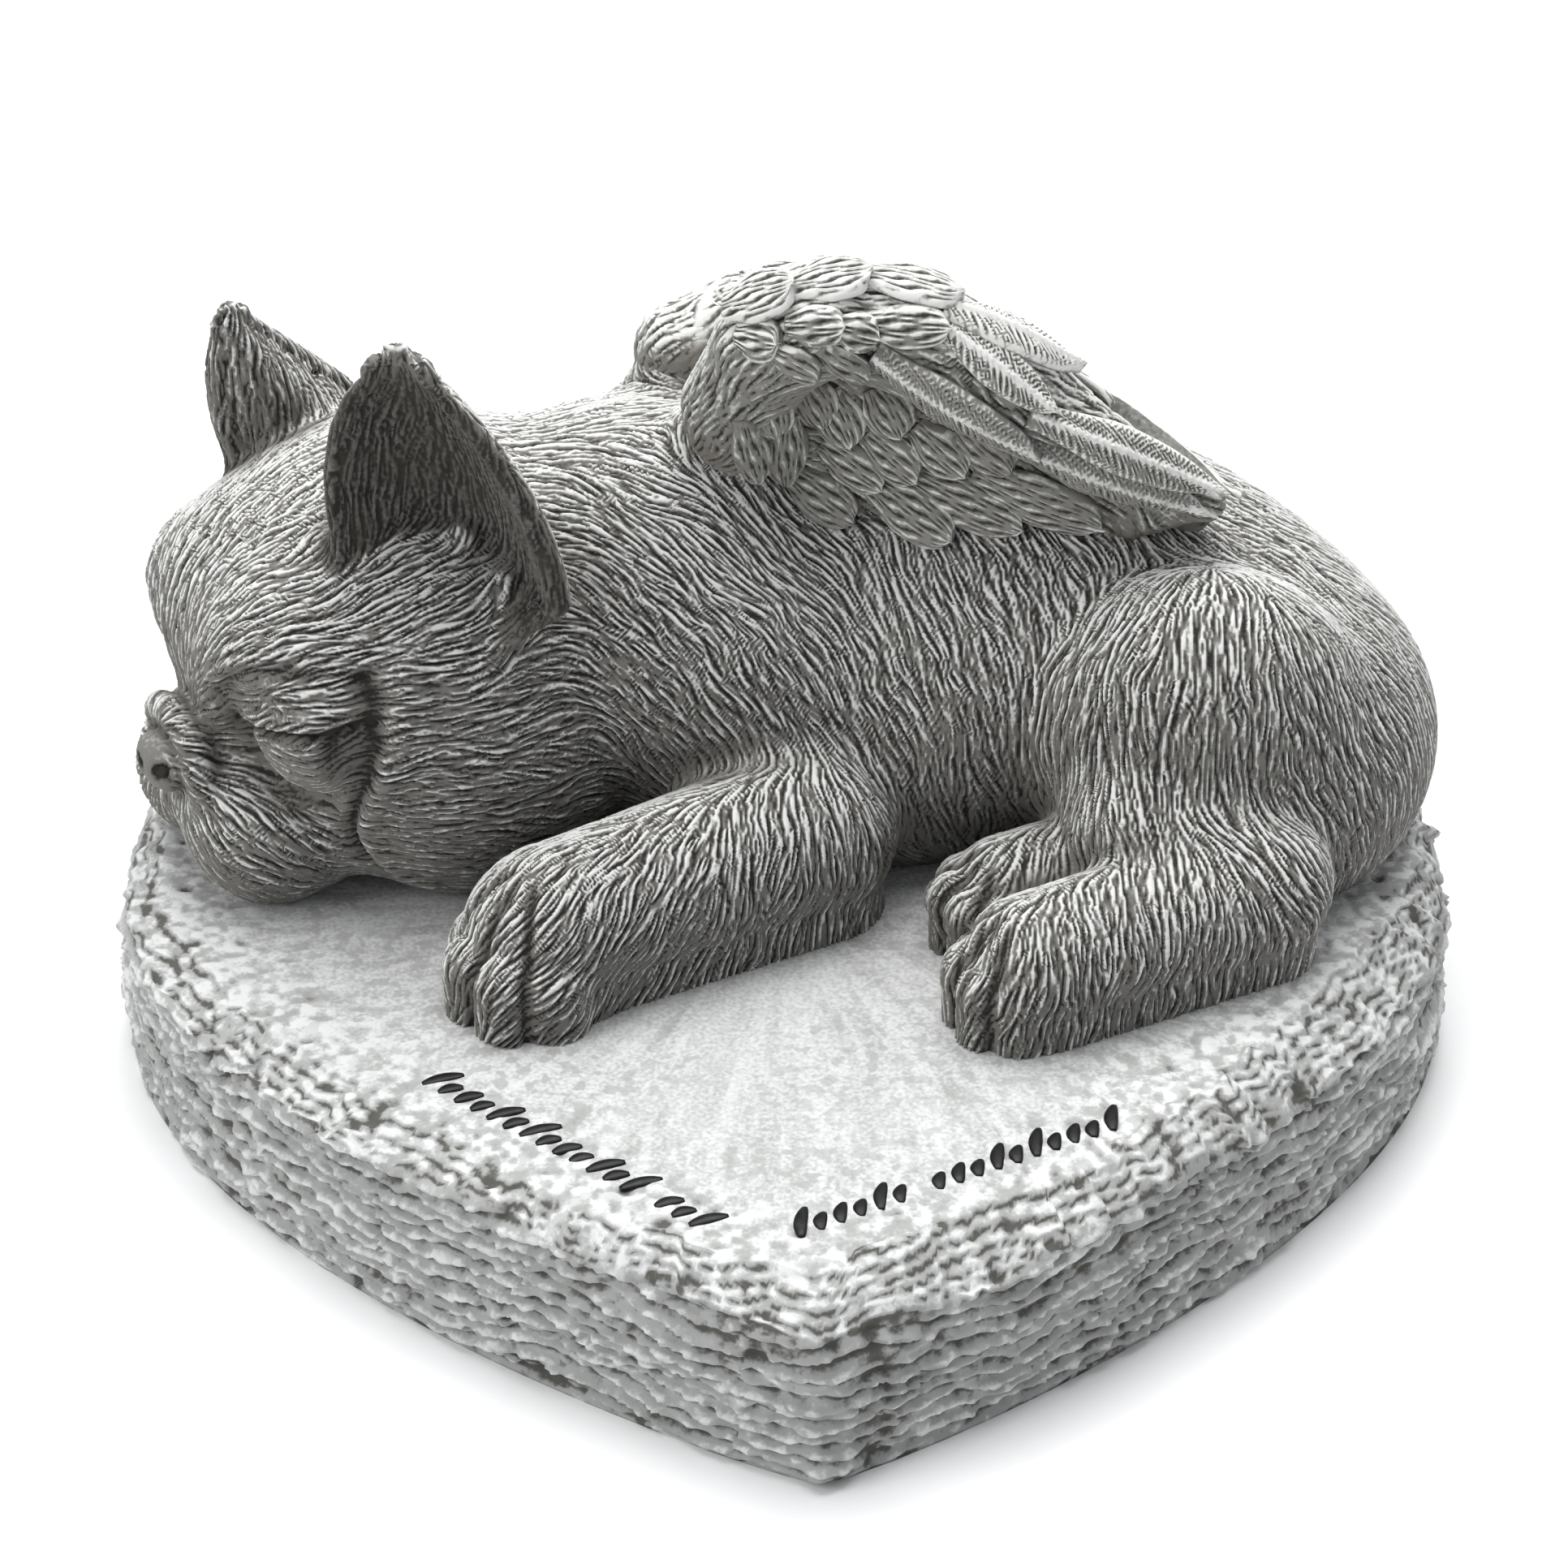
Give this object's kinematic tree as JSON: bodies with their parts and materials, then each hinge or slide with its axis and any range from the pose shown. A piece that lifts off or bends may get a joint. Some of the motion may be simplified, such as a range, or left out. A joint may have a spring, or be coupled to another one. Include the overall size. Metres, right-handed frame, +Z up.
{
  "type": "pet memorial statue",
  "caption": "Cast garden statue of a sleeping bulldog puppy with angel wings on a heart-shaped rock slab.",
  "frame": {"origin": "middle of the statue's bounding box, on its flat underside", "axes": "+Z up; the heart's point is at -Y; the puppy's head is at -X and its rump at +X"},
  "size_m": [0.2094, 0.1868, 0.1259],
  "materials": {
    "cast_resin": "matt grey cast resin, rubbed pale on the high spots and darker in the grooves, with black strokes on the slab"
  },
  "bodies": {
    "root": {"memorial_statue": "cast_resin"}
  },
  "joints": []
}
